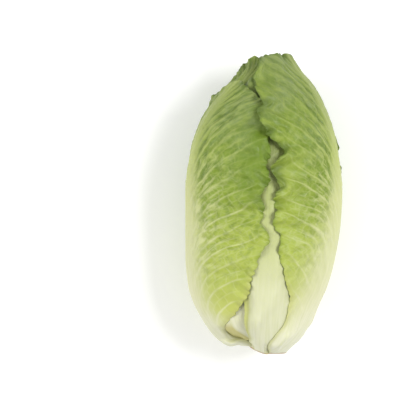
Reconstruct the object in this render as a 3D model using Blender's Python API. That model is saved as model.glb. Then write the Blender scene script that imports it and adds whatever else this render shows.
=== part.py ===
"""One head of baby romaine lettuce, trimmed and lying on its back leaf.

The head's axis runs along +Y, from the cut stem at the low end to the leaf tips, and +Z is up.
Each leaf is a curved blade with a thick rib. It is laid out round the axis by an angle and a share of the
head's length, at its own depth under the outline of the whole head, and then rests on the leaves inside it.
Angles are in degrees round the axis: 0 is the right side (+X), 90 the front (+Z), 180 the left, 270 the back.
"""

import math
from dataclasses import dataclass

import bmesh
import bpy
import numpy as np
from mathutils import Matrix

MM = 0.001

# Driving dimensions of the head
HEAD_LENGTH = 185 * MM
AXIS_HEIGHT = 38.0 * MM
BLADE_THICKNESS = 1.2 * MM
LEAF_GAP = 0.7 * MM

# Outline of the head: share of its length, and distance from the axis in millimetres
RIGHT_SIDE = ((0, 12.5), (0.037, 17.5), (0.09, 24.5), (0.143, 30.1), (0.223, 37.5), (0.329, 43.3), (0.435, 46.4),
              (0.53, 47.3), (0.66, 45.2), (0.75, 41.8), (0.834, 35.6), (0.887, 30.1), (0.94, 22.5), (1, 15))
LEFT_SIDE = ((0, 11.5), (0.012, 16), (0.03, 23.5), (0.063, 30.4), (0.116, 36.9), (0.169, 42.2), (0.223, 45.5),
             (0.329, 47.9), (0.5, 48.5), (0.6, 47.2), (0.714, 42.6), (0.807, 35.5), (0.887, 28.3), (0.94, 18), (1, 9))
FRONT_SIDE = ((0, 11), (0.04, 18), (0.09, 23.5), (0.15, 28), (0.223, 31.5), (0.33, 35), (0.5, 37.5),
              (0.65, 36.3), (0.78, 31), (0.87, 25), (0.94, 18.5), (1, 12.5))
BACK_SIDE = ((0, 11.5), (0.04, 18), (0.1, 25), (0.17, 30), (0.25, 34.8), (0.36, 38), (0.48, 39.1),
             (0.6, 38.2), (0.7, 35), (0.8, 29.5), (0.88, 23.5), (0.94, 17.5), (1, 12))

# Stem: height up the axis and radius in millimetres
STEM_PROFILE = ((0, 8.5), (0.8, 9), (6, 9), (18, 7.4), (32, 5.2), (50, 3.2), (62, 1.2))
STEM_SIDES = 24

# The lowest part of the head, by share of its length, where the leaf bases close round the stem
BUTT_SHARE = 0.05

# The cut is slanted: left of the axis it lies further up the head, between these distances from the axis
CUT_RISE = 3.6 * MM
CUT_RISE_STARTS, CUT_RISE_FULL = 2 * MM, -11 * MM
CUT_RISE_LEAVES, CUT_RISE_ENDS = -14 * MM, -22 * MM
CUT_RISE_SHARE = 0.1

# The map of what already lies inside a new leaf, in steps along and round the axis
MAP_ROWS = 371
MAP_COLUMNS = 360
FITTING_STEPS = 4
RECORDING_STEPS = 14
FITTING_PASSES = 90
EASING_PASSES = 30
PUSH_SHARE = 0.7
EASING_SHARE = 0.92
CLEAR_ENOUGH = 0.01 * MM

# Rows of a leaf stand closer together near its base by this power
ROW_CROWDING = 1.25

# The waves of a leaf's two margins are out of step by this, in radians
SIDE_PHASE = 1.7


@dataclass
class Leaf:
    """One leaf. A curve is a list of (share of the head's length, value) points.

    The rib and the edges are angles; depth, rib_width and rib_thickness are in millimetres. A tuck takes a margin
    further under the head's outline, wave and edge_wave ruffle it, ridge is the share of the rib that stands out
    of the leaf, and rib_edge is how steep the rib's sides are.
    """

    name: str
    start: float
    end: float
    rib: tuple
    low_edge: tuple
    high_edge: tuple
    depth: tuple
    low_tuck: float = 0.0
    high_tuck: float = 0.0
    rib_width: tuple = ((0, 17), (0.2, 9), (0.5, 4.5), (1, 2))
    rib_thickness: tuple = ((0, 2.6), (0.05, 4.5), (0.25, 4), (0.6, 2.2), (1, 1.2))
    wave: float = 2.0
    edge_wave: float = 0.025
    waves: float = 8.0
    phase: float = 0.0
    ridge: float = 0.35
    rib_edge: float = 2.5
    tip_round: float = 0.10
    columns: int = 8
    rows: int = 17


def smooth_curve(points, x):
    """A smooth curve through (x, value) points that doesn't overshoot them."""
    xs, ys = np.array(points, float).T
    step = np.diff(xs)
    slope = np.diff(ys) / step
    tangent = np.empty_like(xs)
    tangent[0], tangent[-1] = slope[0], slope[-1]
    same_way = slope[:-1] * slope[1:] > 0
    total = np.where(same_way, slope[:-1] + slope[1:], 1.0)
    tangent[1:-1] = np.where(same_way, 2 * slope[:-1] * slope[1:] / total, 0.0)
    x = np.clip(x, xs[0], xs[-1])
    i = np.clip(np.searchsorted(xs, x) - 1, 0, len(step) - 1)
    t = (x - xs[i]) / step[i]
    rise = ys[i + 1] - ys[i]
    return (
        ys[i]
        + step[i] * tangent[i] * t * (1 - t) ** 2
        + rise * t * t * (3 - 2 * t)
        - step[i] * tangent[i + 1] * t * t * (1 - t)
    )


def ease(x, start, end):
    """0 before start, 1 after end, and a smooth rise between them."""
    t = np.clip((x - start) / (end - start), 0, 1)
    return t * t * (3 - 2 * t)


def outline_point(share, angle, depth):
    """X and Z, from the axis, of the point at a depth under the head's outline."""
    side = np.where(np.cos(angle) > 0, smooth_curve(RIGHT_SIDE, share), smooth_curve(LEFT_SIDE, share))
    face = np.where(np.sin(angle) > 0, smooth_curve(FRONT_SIDE, share), smooth_curve(BACK_SIDE, share))
    return (side * MM - depth) * np.cos(angle), (face * MM - depth) * np.sin(angle)


def leaf_layout(leaf, across, along):
    """Share of the head's length and angle, in radians, of the points of a leaf."""
    side = np.where(across < 0, 0.0, SIDE_PHASE)
    edge = np.sin(2 * math.pi * leaf.waves * along + leaf.phase + side + 1.2)
    across = across * (1 + leaf.edge_wave * np.abs(across) ** 4 * edge * np.clip(along * 4 - 0.6, 0, 1))
    rounded = 1 - leaf.tip_round * np.abs(across) ** 2.4 * along
    share = leaf.start + (leaf.end - leaf.start) * along * rounded
    rib = smooth_curve(leaf.rib, share)
    low = smooth_curve(leaf.low_edge, share)
    high = smooth_curve(leaf.high_edge, share)
    angle = np.where(across < 0, rib + (rib - low) * across, rib + (high - rib) * across)
    return share, np.radians(angle)


def leaf_faces(leaf, across, along):
    """Share, direction round the axis, outer radius and thickness of a leaf before it rests on others."""
    share, angle = leaf_layout(leaf, across, along)
    rib_angle = np.radians(smooth_curve(leaf.rib, share))
    margin = np.abs(across)
    tuck = np.where(across < 0, leaf.low_tuck, leaf.high_tuck) * margin ** 1.6
    depth = (smooth_curve(leaf.depth, share) + tuck) * MM
    x, z = outline_point(share, angle, depth)
    radius = np.hypot(x, z)
    direction = np.arctan2(z, x)
    from_rib = np.abs(angle - rib_angle) * radius
    rib_form = np.exp(-((from_rib / (smooth_curve(leaf.rib_width, share) * MM)) ** leaf.rib_edge))
    rib_extra = np.maximum(smooth_curve(leaf.rib_thickness, share) * MM - BLADE_THICKNESS, 0) * rib_form
    side = np.where(across < 0, 0.0, SIDE_PHASE)
    wave = np.sin(2 * math.pi * leaf.waves * along + leaf.phase + side)
    tip_wave = np.sin(3 * math.pi * across + leaf.phase)
    rim = margin ** 3 * np.clip(along * 4 - 0.6, 0, 1)
    tip = along ** 8 * (1 - margin ** 3)
    ruffle = leaf.wave * MM * (rim * wave + 0.8 * tip * tip_wave)
    outer = radius + leaf.ridge * rib_extra + ruffle
    return share, direction, outer, BLADE_THICKNESS + rib_extra


def to_points(share, direction, radius):
    """World positions of points given by share of the length, direction and radius."""
    return np.stack(
        [radius * np.cos(direction), share * HEAD_LENGTH, AXIS_HEIGHT + radius * np.sin(direction)], axis=-1
    )


def map_cell(points):
    """Row, column and radius on the map for world points."""
    x, y, z = points[..., 0], points[..., 1], points[..., 2] - AXIS_HEIGHT
    row = np.clip((y / HEAD_LENGTH * (MAP_ROWS - 1)).round().astype(int), 0, MAP_ROWS - 1)
    turn = np.arctan2(z, x) / (2 * math.pi)
    column = (turn * MAP_COLUMNS).round().astype(int) % MAP_COLUMNS
    return row, column, np.hypot(x, z)


def triangle_samples(corners, steps):
    """Points spread evenly over triangles, and the weight of each corner in them."""
    weights = [
        (i / steps, j / steps, (steps - i - j) / steps) for i in range(steps + 1) for j in range(steps + 1 - i)
    ]
    weights = np.array(weights)
    return np.einsum("sk,tkc->tsc", weights, corners), weights


def widen(filled):
    """The map with each cell raised to its highest neighbour."""
    tallest = filled.copy()
    for shift in (-1, 1):
        tallest = np.maximum(tallest, np.roll(filled, shift, axis=1))
    for shift in (1, -1):
        moved = np.roll(tallest, shift, axis=0)
        moved[0 if shift > 0 else -1] = 0
        tallest = np.maximum(tallest, moved)
    return tallest


def even_out(values, triangles):
    """Each point's value averaged with those of the triangles round it."""
    total, count = np.zeros_like(values), np.zeros_like(values)
    for corner in range(3):
        np.add.at(total, triangles[:, corner], values[triangles].mean(axis=1))
        np.add.at(count, triangles[:, corner], 1)
    return total / count


def rest_on_inside(share, direction, outer, thick, triangles, filled):
    """Outer radius of a leaf pushed out until its inner face clears everything already in the map.

    The first passes also ease the push back and even it out, so that the leaf lies close and smooth.
    """
    need = widen(filled)
    wanted = outer
    for turn in range(FITTING_PASSES):
        inner_points = to_points(share, direction, outer - thick)
        samples, weights = triangle_samples(inner_points[triangles], FITTING_STEPS)
        row, column, radius = map_cell(samples)
        short = np.maximum(need[row, column] + LEAF_GAP - radius, 0)
        if turn >= EASING_PASSES and short.max() < CLEAR_ENOUGH:
            break
        push = np.zeros_like(outer)
        for corner in range(3):
            np.maximum.at(push, triangles[:, corner], (short * np.sqrt(weights[:, corner])).max(axis=1))
        outer = outer + PUSH_SHARE * push
        if turn < EASING_PASSES:
            outer = wanted + EASING_SHARE * even_out(outer - wanted, triangles)
    return outer


def fill_base(share, direction, outer, thick, filled):
    """Thickness of a leaf that grows inwards near the cut, so that its base closes round what is inside it."""
    need = widen(filled)
    row, column, radius = map_cell(to_points(share, direction, outer - thick))
    room = np.maximum(radius - need[row, column] - LEAF_GAP, 0)
    return thick + room * np.clip(1 - share / BUTT_SHARE, 0, 1)


def record_leaf(points, triangles, filled):
    """Raises the map to a leaf's outer face."""
    samples, _ = triangle_samples(points[triangles], RECORDING_STEPS)
    row, column, radius = map_cell(samples)
    np.maximum.at(filled, (row.ravel(), column.ravel()), radius.ravel())


def make_material(name, colour, roughness):
    material = bpy.data.materials.new(name)
    material.use_nodes = True
    shader = material.node_tree.nodes["Principled BSDF"]
    shader.inputs["Base Color"].default_value = (*colour, 1)
    shader.inputs["Roughness"].default_value = roughness
    shader.inputs["Metallic"].default_value = 0
    return material


def add_object(name, mesh, material, collection):
    obj = bpy.data.objects.new(name, mesh)
    mesh.materials.append(material)
    collection.objects.link(obj)
    return obj


def make_leaf(leaf, filled, material, collection):
    """A leaf from a flat grid: placed, rested on what is inside it, and given its thickness."""
    bm = bmesh.new()
    bmesh.ops.create_grid(bm, x_segments=leaf.columns, y_segments=leaf.rows, size=1)
    bmesh.ops.triangulate(bm, faces=bm.faces)
    grid = np.array([v.co for v in bm.verts])
    across, along = grid[:, 0], (grid[:, 1] / 2 + 0.5) ** ROW_CROWDING
    triangles = np.array([[v.index for v in f.verts] for f in bm.faces])
    share, direction, outer, thick = leaf_faces(leaf, across, along)
    outer = rest_on_inside(share, direction, outer, thick, triangles, filled)
    thick = fill_base(share, direction, outer, thick, filled)
    outer = rest_on_inside(share, direction, outer, thick, triangles, filled)
    outer_points = to_points(share, direction, outer)
    outer_points[:, 2] = np.maximum(outer_points[:, 2], 0)
    inner_points = to_points(share, direction, outer - thick)
    inner_points[:, 2] = np.maximum(inner_points[:, 2], thick)
    record_leaf(outer_points, triangles, filled)

    number = bm.verts.layers.int.new("number")
    for vert in bm.verts:
        vert[number] = vert.index
        vert.co = outer_points[vert.index]
    made = bmesh.ops.extrude_face_region(bm, geom=bm.faces[:], use_keep_orig=True)
    for vert in (item for item in made["geom"] if isinstance(item, bmesh.types.BMVert)):
        vert.co = inner_points[vert[number]]
    bmesh.ops.recalc_face_normals(bm, faces=bm.faces)
    mesh = bpy.data.meshes.new(leaf.name)
    bm.to_mesh(mesh)
    bm.free()
    mesh.shade_smooth()
    return add_object(leaf.name, mesh, material, collection)


def make_stem(filled, material, collection):
    """The stem that the leaves grow from, turned from its profile, with the flat cut at its low end."""
    bm = bmesh.new()
    ring = [(r * MM, y * MM) for y, r in STEM_PROFILE]
    profile = [bm.verts.new((0, ring[0][1], AXIS_HEIGHT))]
    profile += [bm.verts.new((r, y, AXIS_HEIGHT)) for r, y in ring]
    profile.append(bm.verts.new((0, ring[-1][1] + 2 * MM, AXIS_HEIGHT)))
    edges = [bm.edges.new(pair) for pair in zip(profile, profile[1:])]
    bmesh.ops.spin(bm, geom=profile + edges, cent=(0, 0, AXIS_HEIGHT), axis=(0, 1, 0), angle=2 * math.pi,
                   steps=STEM_SIDES, use_merge=True)
    bmesh.ops.remove_doubles(bm, verts=bm.verts, dist=0.01 * MM)
    bmesh.ops.recalc_face_normals(bm, faces=bm.faces)
    mesh = bpy.data.meshes.new("stem")
    bm.to_mesh(mesh)
    bm.free()
    heights = np.linspace(0, HEAD_LENGTH, MAP_ROWS) / MM
    top = STEM_PROFILE[-1][0] + 2
    radius = np.where(heights <= top, np.interp(heights, *zip(*STEM_PROFILE)), 0) * MM
    filled[:] = radius[:, None]
    return add_object("stem", mesh, material, collection)


def inner_leaves():
    """The leaves of the heart, each a golden angle on from the last and a little further out."""
    leaves = []
    count = 7
    for i in range(count):
        out = i / (count - 1)
        middle = 250 + 137.5 * i
        middle -= 360 * (middle // 360)
        reach = 62 + 6 * out
        leaves.append(Leaf(
            name=f"inner_leaf_{i + 1}",
            start=0.20 - 0.15 * out,
            end=0.87 + 0.09 * out,
            rib=((0, middle), (1, middle + 10)),
            low_edge=((0, middle - 52), (0.3, middle - reach), (0.8, middle - reach), (1, middle - 45)),
            high_edge=((0, middle + 52), (0.3, middle + reach), (0.8, middle + reach), (1, middle + 65)),
            depth=((0, 3), (0.1, 6), (0.5, 31 - 17 * out), (0.8, 20 - 11 * out), (0.9, 12 - 5 * out), (1, 4)),
            rib_width=((0, 9), (0.3, 6), (0.6, 3), (1, 1.5)),
            rib_thickness=((0, 3), (0.4, 2.6), (0.7, 1.6), (1, 1.2)),
            wave=1.9,
            waves=7,
            phase=1.3 * i,
            tip_round=0.07,
            columns=8,
            rows=17,
        ))
    return leaves


def outer_leaves():
    """The leaves that show, from the inside out."""
    return [
        Leaf(
            name="upper_left_leaf", start=0.03, end=0.99,
            rib=((0, 116), (0.1, 128), (0.5, 124), (0.85, 128), (1, 118)),
            low_edge=((0, 108), (0.1, 98), (0.3, 72), (0.6, 62), (0.85, 66), (1, 68)),
            high_edge=((0, 124), (0.03, 124), (0.06, 136), (0.1, 150), (0.16, 166), (0.3, 180), (0.6, 190),
                       (0.85, 190), (1, 176)),
            depth=((0, 5), (0.15, 5), (0.4, 8), (0.7, 8), (0.85, 4.5), (0.92, 4.2), (0.95, 3.2), (0.98, 1), (1, 0.5)),
            rib_thickness=((0, 1.4), (0.1, 3), (0.3, 3), (0.6, 2), (1, 1.2)),
            wave=2.2, phase=0.4, tip_round=0.07, columns=12, rows=28,
        ),
        Leaf(
            name="front_leaf", start=0.0, end=0.945,
            rib=((0, 92), (0.2, 90), (1, 84)),
            low_edge=((0, 80), (0.03, 70), (0.06, 58), (0.1, 50), (0.3, 35), (0.6, 25), (0.85, 35), (1, 50)),
            high_edge=((0, 142), (0.02, 127), (0.05, 116), (0.1, 114), (0.18, 112), (0.26, 116), (0.4, 130),
                       (0.6, 145), (0.85, 132), (1, 120)),
            depth=((0, 0.5), (0.1, 0.8), (0.2, 2.5), (0.35, 5.5), (0.6, 7.5), (1, 6)),
            rib_width=((0, 18), (0.15, 12), (0.3, 8.5), (0.5, 4.5), (1, 2)),
            rib_thickness=((0, 2.4), (0.05, 5), (0.18, 6.5), (0.35, 5), (0.5, 3), (0.7, 2), (1, 1.2)),
            ridge=0.7, rib_edge=3.5, phase=2.1, columns=14, rows=32,
        ),
        Leaf(
            name="left_leaf", start=0.005, end=0.915,
            rib=((0, 178), (0.3, 169), (0.6, 165), (0.74, 160), (0.8, 152), (0.86, 138), (0.92, 128)),
            low_edge=((0, 150), (0.02, 142), (0.04, 146), (0.07, 140), (0.096, 134), (0.12, 124), (0.143, 115),
                      (0.17, 109), (0.22, 101), (0.3, 97), (0.37, 89), (0.48, 93), (0.6, 88), (0.75, 82),
                      (0.86, 92), (0.92, 104)),
            high_edge=((0, 232), (0.1, 228), (0.3, 240), (0.6, 250), (0.75, 240), (0.84, 215), (0.92, 186)),
            depth=((0, 0), (1, 0)),
            low_tuck=4.5, high_tuck=4,
            rib_width=((0, 20), (0.2, 12), (0.4, 6), (0.6, 4), (1, 2)),
            rib_thickness=((0, 2.4), (0.05, 4), (0.2, 4.5), (0.5, 3.4), (0.75, 2.4), (1, 1.2)),
            ridge=0.5, wave=2.3, waves=9, phase=0.9, tip_round=0.08, columns=14, rows=38,
        ),
        Leaf(
            name="right_leaf", start=0.0, end=1.0,
            rib=((0, 12), (0.3, 13), (0.6, 15), (0.8, 19), (0.9, 20), (1, 26)),
            low_edge=((0, -48), (0.1, -46), (0.3, -62), (0.6, -74), (0.85, -60), (1, -30)),
            high_edge=((0, 74), (0.03, 84), (0.06, 77), (0.12, 63), (0.16, 61), (0.22, 69), (0.3, 77), (0.5, 84),
                       (0.6, 85), (0.66, 79), (0.73, 90), (0.79, 96), (0.84, 94), (0.88, 102), (1, 100)),
            depth=((0, 0), (1, 0)),
            low_tuck=4,
            rib_width=((0, 20), (0.2, 13), (0.4, 7), (0.6, 4.5), (1, 2)),
            rib_thickness=((0, 2.6), (0.05, 4.5), (0.2, 5), (0.5, 3.6), (0.75, 2.6), (1, 1.2)),
            ridge=0.5, wave=2.3, waves=10, phase=2.6, tip_round=0.012, columns=14, rows=38,
        ),
        Leaf(
            name="back_leaf", start=0.0, end=0.97,
            rib=((0, 270), (1, 266)),
            low_edge=((0, 226), (0.1, 224), (0.3, 213), (0.6, 208), (0.8, 214), (0.9, 226), (1, 236)),
            high_edge=((0, 316), (0.1, 318), (0.3, 330), (0.55, 342), (0.68, 351), (0.78, 338), (0.9, 320),
                       (1, 304)),
            depth=((0, 0), (1, 0)),
            rib_width=((0, 20), (0.2, 13), (0.4, 7), (0.6, 4.5), (1, 2)),
            rib_thickness=((0, 2.6), (0.05, 4.5), (0.2, 5), (0.5, 3), (1, 1.2)),
            wave=2.4, waves=8, phase=4.0, tip_round=0.08, columns=14, rows=36,
        ),
    ]


def slant_cut(objects):
    """Moves the lowest part of the head up on its left side, so that the cut is slanted."""
    for obj in objects:
        for vert in obj.data.vertices:
            x, y, _ = vert.co
            side = ease(x, CUT_RISE_STARTS, CUT_RISE_FULL) * ease(x, CUT_RISE_ENDS, CUT_RISE_LEAVES)
            vert.co.y = y + CUT_RISE * side * (1 - ease(y / HEAD_LENGTH, 0, CUT_RISE_SHARE))


def centre_on_origin(objects):
    """Moves the head so that the middle of its box in X and Y is over the origin."""
    points = np.array([v.co for obj in objects for v in obj.data.vertices])
    middle = (points.min(axis=0) + points.max(axis=0)) / 2
    for obj in objects:
        obj.data.transform(Matrix.Translation((-middle[0], -middle[1], 0)))


def main():
    for obj in list(bpy.data.objects):
        bpy.data.objects.remove(obj)
    collection = bpy.data.collections.new("romaine_lettuce")
    bpy.context.scene.collection.children.link(collection)
    blade = make_material("leaf_green", (0.36, 0.50, 0.12), 0.5)
    heart = make_material("heart_yellow_green", (0.62, 0.70, 0.25), 0.5)
    flesh = make_material("stem_cream", (0.86, 0.85, 0.66), 0.55)
    filled = np.zeros((MAP_ROWS, MAP_COLUMNS))
    made = [make_stem(filled, flesh, collection)]
    made += [make_leaf(leaf, filled, heart, collection) for leaf in inner_leaves()]
    made += [make_leaf(leaf, filled, blade, collection) for leaf in outer_leaves()]
    slant_cut(made)
    centre_on_origin(made)


main()
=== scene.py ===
# %% [markdown]
# A head of baby romaine lettuce, lying on its side.
#
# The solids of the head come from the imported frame. They give every leaf its place and its form, with
# blades as thick as cardboard. This script dresses them: each leaf gets a fine sheet in the same place,
# with a round rib, forking veins, puckered cells and a crinkled margin, and its colour runs from cream at
# the cut to green at the tip.

# %% Tools and the frame
import math
from types import SimpleNamespace

import bmesh
import bpy
import numpy as np
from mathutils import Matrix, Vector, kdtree, noise


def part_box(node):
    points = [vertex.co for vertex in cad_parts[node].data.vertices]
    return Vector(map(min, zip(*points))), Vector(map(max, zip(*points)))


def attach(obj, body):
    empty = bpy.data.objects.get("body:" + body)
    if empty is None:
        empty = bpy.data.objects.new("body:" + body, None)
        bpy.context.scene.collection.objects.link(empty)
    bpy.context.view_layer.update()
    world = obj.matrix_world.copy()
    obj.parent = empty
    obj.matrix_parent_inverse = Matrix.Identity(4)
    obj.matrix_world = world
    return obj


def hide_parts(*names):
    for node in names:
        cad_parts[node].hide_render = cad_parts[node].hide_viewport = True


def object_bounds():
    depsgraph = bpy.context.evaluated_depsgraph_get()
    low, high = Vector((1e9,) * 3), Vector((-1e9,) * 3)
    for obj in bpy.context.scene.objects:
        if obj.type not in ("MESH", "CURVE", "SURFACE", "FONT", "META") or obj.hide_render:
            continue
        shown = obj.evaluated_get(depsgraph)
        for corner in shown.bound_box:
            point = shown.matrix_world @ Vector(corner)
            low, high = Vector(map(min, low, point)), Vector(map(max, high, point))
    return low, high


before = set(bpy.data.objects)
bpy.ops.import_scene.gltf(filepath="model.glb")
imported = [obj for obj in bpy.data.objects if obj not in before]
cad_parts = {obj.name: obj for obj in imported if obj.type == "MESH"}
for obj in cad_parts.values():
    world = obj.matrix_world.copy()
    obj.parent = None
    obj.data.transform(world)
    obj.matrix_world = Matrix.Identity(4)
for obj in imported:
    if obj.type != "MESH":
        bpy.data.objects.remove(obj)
cad_low, cad_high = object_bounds()
MM = 0.001


def box_in_mm(low, high):
    return [round((b - a) / MM, 1) for a, b in zip(low, high)]


print("solids:", len(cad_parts), "box in mm:", box_in_mm(cad_low, cad_high))

# %% [markdown]
# Everything is laid out round the axis of the head, which runs along +Y through the middle of the stem. A
# place on a leaf is a share of the head's length and a direction round the axis, and a radius says how far
# out it lies. The stem's own box gives the axis, so nothing has to be fitted by hand. The knife went
# through at a slant, so the lowest part of the head is moved up on its left side, in the solids and here.

# %% The axis of the head
stem_low, stem_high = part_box("stem")
AXIS_X = (stem_low[0] + stem_high[0]) / 2
AXIS_Z = (stem_low[2] + stem_high[2]) / 2
BASE_Y = cad_low[1]
HEAD_LENGTH = cad_high[1] - cad_low[1]
CUT_RISE = 3.6 * MM
CUT_RISE_STARTS, CUT_RISE_FULL = 2 * MM, -11 * MM
CUT_RISE_LEAVES, CUT_RISE_ENDS = -14 * MM, -22 * MM
CUT_RISE_SHARE = 0.1
CUT_PASSES = 12


def ease(x, start, end):
    """0 before start, 1 after end, and a smooth rise between them."""
    t = np.clip((x - start) / (end - start), 0, 1)
    return t * t * (3 - 2 * t)


def cut_rise(x, share):
    """How far up the slanted cut moves a point at x beside the axis and a share of the length."""
    side = ease(x, CUT_RISE_STARTS, CUT_RISE_FULL) * ease(x, CUT_RISE_ENDS, CUT_RISE_LEAVES)
    return CUT_RISE * side * (1 - ease(share, 0, CUT_RISE_SHARE))


def to_polar(points):
    """Share of the length, direction and radius of world points."""
    x, y, z = points[..., 0] - AXIS_X, points[..., 1] - BASE_Y, points[..., 2] - AXIS_Z
    share = y / HEAD_LENGTH
    for _ in range(CUT_PASSES):
        share = (y - cut_rise(x, share)) / HEAD_LENGTH
    return share, np.arctan2(z, x), np.hypot(x, z)


def to_world(share, direction, radius):
    """World points at a share of the length, in a direction, at a radius."""
    x, z = radius * np.cos(direction), AXIS_Z + radius * np.sin(direction)
    return np.stack([AXIS_X + x, BASE_Y + share * HEAD_LENGTH + cut_rise(x, share), z], axis=-1)


print("axis at x, z in mm:", round(AXIS_X / MM, 2), round(AXIS_Z / MM, 2))
print("length in mm:", round(HEAD_LENGTH / MM, 1))

# %% [markdown]
# A plant has no straight lines, so its measures are curves: a few points of (share of the length, value)
# with a smooth line through them. The outline of the whole head is four such curves, one for each side.

# %% Curves and the outline of the head
RIGHT_SIDE = ((0, 12.5), (0.037, 17.5), (0.09, 24.5), (0.143, 30.1), (0.223, 37.5), (0.329, 43.3),
              (0.435, 46.4), (0.53, 47.3), (0.66, 45.2), (0.75, 41.8), (0.834, 35.6), (0.887, 30.1),
              (0.94, 22.5), (1, 15))
LEFT_SIDE = ((0, 11.5), (0.012, 16), (0.03, 23.5), (0.063, 30.4), (0.116, 36.9), (0.169, 42.2),
             (0.223, 45.5), (0.329, 47.9), (0.5, 48.5), (0.6, 47.2), (0.714, 42.6), (0.807, 35.5),
             (0.887, 28.3), (0.94, 18), (1, 9))
FRONT_SIDE = ((0, 11), (0.04, 18), (0.09, 23.5), (0.15, 28), (0.223, 31.5), (0.33, 35), (0.5, 37.5),
              (0.65, 36.3), (0.78, 31), (0.87, 25), (0.94, 18.5), (1, 12.5))
BACK_SIDE = ((0, 11.5), (0.04, 18), (0.1, 25), (0.17, 30), (0.25, 34.8), (0.36, 38), (0.48, 39.1),
             (0.6, 38.2), (0.7, 35), (0.8, 29.5), (0.88, 23.5), (0.94, 17.5), (1, 12))


def curve(points, x):
    """A smooth curve through (x, value) points that doesn't overshoot them."""
    xs, ys = np.array(points, float).T
    step = np.diff(xs)
    slope = np.diff(ys) / step
    tangent = np.empty_like(xs)
    tangent[0], tangent[-1] = slope[0], slope[-1]
    same_way = slope[:-1] * slope[1:] > 0
    total = np.where(same_way, slope[:-1] + slope[1:], 1.0)
    tangent[1:-1] = np.where(same_way, 2 * slope[:-1] * slope[1:] / total, 0.0)
    x = np.clip(x, xs[0], xs[-1])
    i = np.clip(np.searchsorted(xs, x) - 1, 0, len(step) - 1)
    t = (x - xs[i]) / step[i]
    from_start = ys[i] + step[i] * tangent[i] * t * (1 - t) ** 2
    to_end = (ys[i + 1] - ys[i]) * t * t * (3 - 2 * t)
    return from_start + to_end - step[i] * tangent[i + 1] * t * t * (1 - t)


def outline_point(share, angle, depth):
    """X and Z, from the axis, of the point at a depth in metres under the head's outline."""
    side = np.where(np.cos(angle) > 0, curve(RIGHT_SIDE, share), curve(LEFT_SIDE, share))
    face = np.where(np.sin(angle) > 0, curve(FRONT_SIDE, share), curve(BACK_SIDE, share))
    return (side * MM - depth) * np.cos(angle), (face * MM - depth) * np.sin(angle)


# %% [markdown]
# Each leaf is a sheet with two numbers for every point: across it, from -1 at one margin through 0 on the
# rib to 1 at the other margin, and along it, from 0 at the base to 1 at the tip. The rib and the two
# margins are curves of the angle round the head: 0 is the right side, 90 the front, which faces up, 180 the
# left and 270 the back. The margin at the smaller angle is the low one. These are the curves that lay out
# the solids, so the fine sheet and the solid agree point by point.
#
# The other values of a leaf are mostly curves too, in millimetres. Its lie: depth under the outline, a tuck
# of each margin, waves along the margins with their phase, how round the tip is, and the columns and rows
# of the solid. Its relief: loose scales all of it, ruffle is the height of the waves at the margin, lobes,
# press, flare, lift and droop move parts of the leaf, and the blade thins over taper. Its colour: the half
# width of the pale zone beside the rib, how sharply that ends, how much wider it is on the low side, and
# where the base is tinted, partly as a stain and partly as painted shade. Last come the steps of the fine
# grid and the seed of the noise.

# %% Laying out a leaf
ROW_CROWDING = 1.25
PALE_ZONE = ((0, 60), (0.06, 44), (0.11, 28), (0.16, 22), (0.28, 20), (0.4, 19.5), (0.5, 16), (0.6, 10.5),
             (0.7, 7.5), (0.8, 6), (0.9, 3.5), (1, 1.5))


def leaf(name, start, end, rib, low_edge, high_edge, **more):
    """A leaf's curves, with plain values for what it doesn't state."""
    flat = ((0, 0), (1, 0))
    values = dict(name=name, start=start, end=end, rib=rib, low_edge=low_edge, high_edge=high_edge,
                  depth=flat, low_tuck=0, high_tuck=0, waves=8, phase=0, tip_round=0.1, columns=14, rows=36,
                  loose=((0, 1), (1, 1)), ruffle=((0, 1.6), (1, 1.6)), lobes=flat, low_lobes=flat,
                  press=flat, low_press=flat, flare=flat, lift=flat, droop=0, taper=9, pale=PALE_ZONE,
                  pale_power=3.5, pale_low=1.0, stain=flat, fine=(128, 270), seed=0.0)
    values.update(more)
    return SimpleNamespace(**values)


def layout(leaf, across, along):
    """Share, direction, radius and angle from the rib, in radians, of points of a leaf."""
    side = np.where(across < 0, 0.0, 1.7)
    edge = np.sin(2 * math.pi * leaf.waves * along + leaf.phase + side + 1.2)
    waved = across * (1 + 0.025 * np.abs(across) ** 4 * edge * np.clip(along * 4 - 0.6, 0, 1))
    rounded = 1 - leaf.tip_round * np.abs(waved) ** 2.4 * along
    share = leaf.start + (leaf.end - leaf.start) * along * rounded
    rib, low, high = (np.radians(curve(line, share)) for line in (leaf.rib, leaf.low_edge, leaf.high_edge))
    angle = np.where(waved < 0, rib + (rib - low) * waved, rib + (high - rib) * waved)
    tuck = np.where(across < 0, leaf.low_tuck, leaf.high_tuck) * np.abs(across) ** 1.6
    x, z = outline_point(share, angle, (curve(leaf.depth, share) + tuck) * MM)
    return share, np.arctan2(z, x), np.hypot(x, z), angle - rib


# %% [markdown]
# The solid tells how far out each leaf really lies, because it was pushed out until it cleared the leaves
# inside it. Its corners are looked up by share and direction, and a smooth surface is drawn through what
# they say.

# %% Reading the radius from the solid
KEY_RADIUS = 30 * MM
KEY_REACH = 0.9 * MM


def key(share, direction):
    return share * HEAD_LENGTH, KEY_RADIUS * math.cos(direction), KEY_RADIUS * math.sin(direction)


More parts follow.
